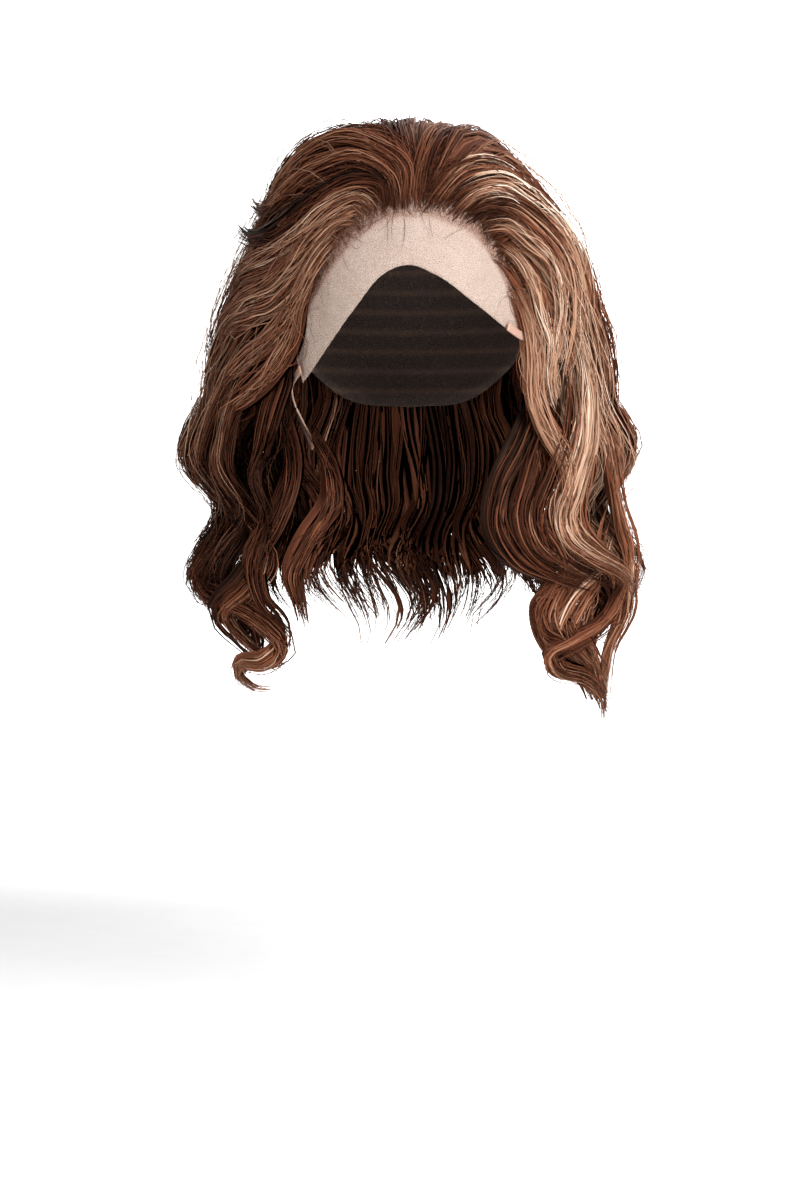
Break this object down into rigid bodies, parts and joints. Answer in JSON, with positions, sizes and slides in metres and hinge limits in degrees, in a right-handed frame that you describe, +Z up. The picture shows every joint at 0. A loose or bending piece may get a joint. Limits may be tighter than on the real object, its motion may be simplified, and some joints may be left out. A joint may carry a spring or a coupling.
{
  "type": "wig",
  "caption": "Lace-front wig of loosely waved, shoulder-length brown hair with caramel lights, on a net cap with a lace forehead panel and ear tabs.",
  "frame": {"origin": "inside crown of the cap, where the top of the head sits", "axes": "+Z up, -Y out of the face opening, +X towards the wearer's left"},
  "size_m": [0.2723, 0.2206, 0.3513],
  "materials": {
    "hair": "satin",
    "net": "matte",
    "lace": "matte",
    "tape": "matte"
  },
  "bodies": {
    "root": {"cap": "net", "lace_front": "lace", "ear_tab_left": "tape", "ear_tab_right": "tape", "front_hair_right": "hair", "front_hair_left": "hair", "crown_hair": "hair", "side_hair_right": "hair", "side_hair_left": "hair", "back_hair": "hair"}
  },
  "joints": []
}
